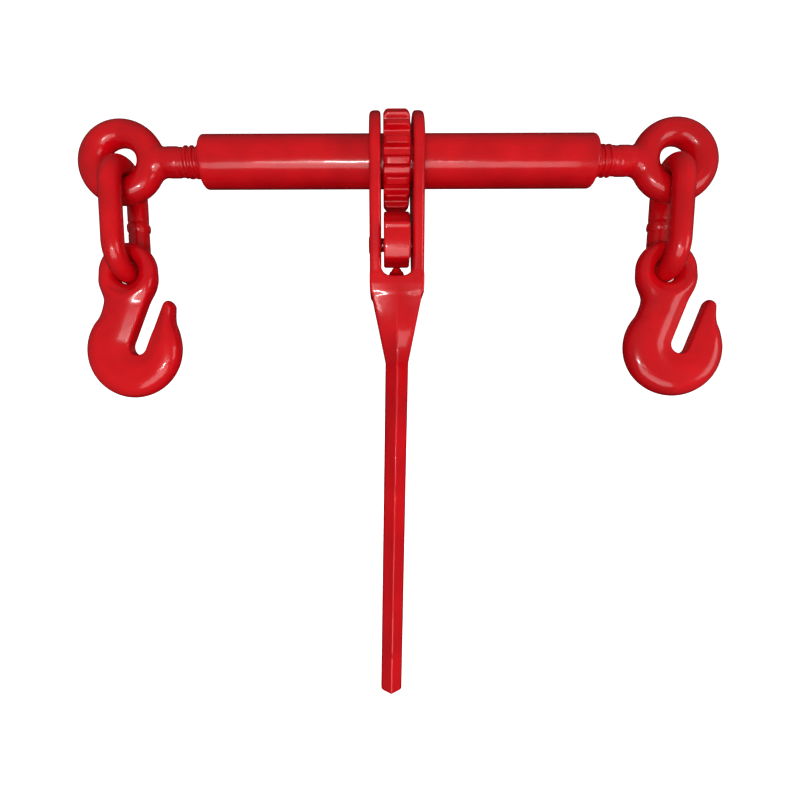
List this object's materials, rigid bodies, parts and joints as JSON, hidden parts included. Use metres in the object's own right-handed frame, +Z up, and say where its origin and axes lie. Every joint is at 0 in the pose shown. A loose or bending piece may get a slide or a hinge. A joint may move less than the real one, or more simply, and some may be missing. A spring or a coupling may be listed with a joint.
{
  "type": "ratchet load binder",
  "caption": "Ratchet load binder: threaded barrel with a central gear and swinging pawl handle, two opposed eye screws, welded links and grab hooks.",
  "frame": {"origin": "centre of the barrel, on its axis", "axes": "+X along the barrel, +Z up, the handle hanging along -Z, the hooks opening towards +X"},
  "size_m": [0.4221, 0.062, 0.378],
  "materials": {
    "red_enamel": "thick gloss red enamel over forged steel",
    "plated_steel": "turned steel, light grease",
    "spring_steel": "oil-tempered spring wire"
  },
  "bodies": {
    "barrel": {"barrel_tube": "red_enamel", "left_thread_insert": "red_enamel", "right_thread_insert": "red_enamel", "ratchet_gear": "red_enamel", "gear_dutch_pins": "plated_steel"},
    "handle": {"handle": "red_enamel", "pawl_pin": "red_enamel", "detent_spring": "spring_steel"},
    "pawl": {"pawl": "red_enamel"},
    "detent_plunger": {"detent_plunger": "red_enamel"},
    "left_stop_washer": {"left_stop_washer": "plated_steel"},
    "right_stop_washer": {"right_stop_washer": "plated_steel"},
    "left_eye_screw": {"left_eye_screw": "red_enamel", "left_stop_pin": "plated_steel"},
    "right_eye_screw": {"right_eye_screw": "red_enamel", "right_stop_pin": "plated_steel"},
    "left_link": {"left_link": "red_enamel"},
    "right_link": {"right_link": "red_enamel"},
    "left_hook": {"left_hook": "red_enamel"},
    "right_hook": {"right_hook": "red_enamel"}
  },
  "joints": [
    {"name": "handle_swing", "type": "hinge", "parent": "barrel", "child": "handle", "pos_m": [0, 0, 0], "axis": [1, 0, 0], "continuous": true},
    {"name": "pawl_flip", "type": "hinge", "parent": "handle", "child": "pawl", "pos_m": [0, 0, -0.055], "axis": [1, 0, 0], "range_deg": [-68.1, 15.1]},
    {"name": "detent_press", "type": "slide", "parent": "handle", "child": "detent_plunger", "axis": [0, 0, 1], "range_m": [-0.0025, 0], "stiffness_N_per_m": 1000, "springref_m": 0.004, "deforming": ["detent_spring"]},
    {"name": "left_screw_travel", "type": "slide", "parent": "barrel", "child": "left_stop_washer", "axis": [-1, 0, 0], "range_m": [-0.008, 0.092]},
    {"name": "left_screw_turn", "type": "hinge", "parent": "left_stop_washer", "child": "left_eye_screw", "pos_m": [0, 0, 0], "axis": [-1, 0, 0], "range_deg": [-720, 8280]},
    {"name": "right_screw_travel", "type": "slide", "parent": "barrel", "child": "right_stop_washer", "axis": [1, 0, 0], "range_m": [-0.008, 0.092]},
    {"name": "right_screw_turn", "type": "hinge", "parent": "right_stop_washer", "child": "right_eye_screw", "pos_m": [0, 0, 0], "axis": [-1, 0, 0], "range_deg": [-720, 8280]},
    {"name": "left_link_swing", "type": "hinge", "parent": "left_eye_screw", "child": "left_link", "pos_m": [-0.182, 0, 0], "axis": [0, 1, 0], "range_deg": [-30, 105]},
    {"name": "left_hook_swing", "type": "hinge", "parent": "left_link", "child": "left_hook", "pos_m": [-0.17817, 0, -0.0731], "axis": [0, 1, 0], "range_deg": [-45, 75]},
    {"name": "right_link_swing", "type": "hinge", "parent": "right_eye_screw", "child": "right_link", "pos_m": [0.182, 0, 0], "axis": [0, -1, 0], "range_deg": [-30, 105]},
    {"name": "right_hook_swing", "type": "hinge", "parent": "right_link", "child": "right_hook", "pos_m": [0.17651, 0, -0.07299], "axis": [0, -1, 0], "range_deg": [-45, 75]}
  ],
  "couplings": [
    {"joint": "left_screw_travel", "follows": "left_screw_turn", "m_per_rad": 0.00063662},
    {"joint": "right_screw_travel", "follows": "left_screw_turn", "m_per_rad": 0.00063662},
    {"joint": "right_screw_turn", "follows": "left_screw_turn", "ratio": 1}
  ]
}
